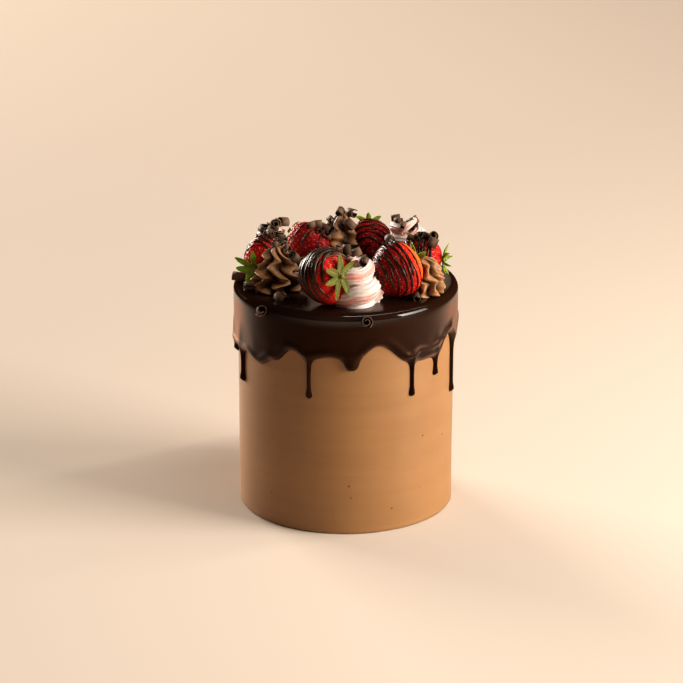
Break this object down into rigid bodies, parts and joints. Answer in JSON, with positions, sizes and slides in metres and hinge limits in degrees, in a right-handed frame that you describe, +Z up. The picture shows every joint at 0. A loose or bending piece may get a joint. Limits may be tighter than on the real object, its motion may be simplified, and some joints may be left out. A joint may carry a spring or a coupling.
{
  "type": "chocolate strawberry cake",
  "caption": "Tall round buttercream cake under a dripping chocolate ganache cap, crowned with a ring of drizzled strawberries, piped swirls and chocolate curls.",
  "frame": {"origin": "centre of the cake's flat base, on the surface it stands on", "axes": "+Z up along the cake's axis; -Y is the front, the side the picture was taken from; +X to the right of it"},
  "size_m": [0.1567, 0.1618, 0.2031],
  "materials": {
    "buttercream": "smooth satin chocolate buttercream",
    "ganache": "glossy dark chocolate ganache",
    "strawberry": "glossy ripe strawberry with dark chocolate lines",
    "leaf": "fresh yellow-green leaf",
    "chocolate_cream": "satin piped chocolate buttercream",
    "strawberry_cream": "satin piped white cream with pink streaks"
  },
  "bodies": {
    "root": {"frosted_cake": "buttercream", "ganache": "ganache", "strawberry_left": "strawberry", "strawberry_left_calyx": "leaf", "strawberry_front": "strawberry", "strawberry_front_calyx": "leaf", "strawberry_right_front": "strawberry", "strawberry_right_front_calyx": "leaf", "strawberry_right": "strawberry", "strawberry_right_calyx": "leaf", "strawberry_back": "strawberry", "strawberry_back_calyx": "leaf", "strawberry_back_left": "strawberry", "strawberry_back_left_calyx": "leaf", "chocolate_swirl_front_left": "chocolate_cream", "cream_swirl_front": "strawberry_cream", "chocolate_swirl_right": "chocolate_cream", "cream_swirl_back_right": "strawberry_cream", "chocolate_swirl_back": "chocolate_cream", "cream_swirl_back_left": "strawberry_cream"}
  },
  "joints": []
}
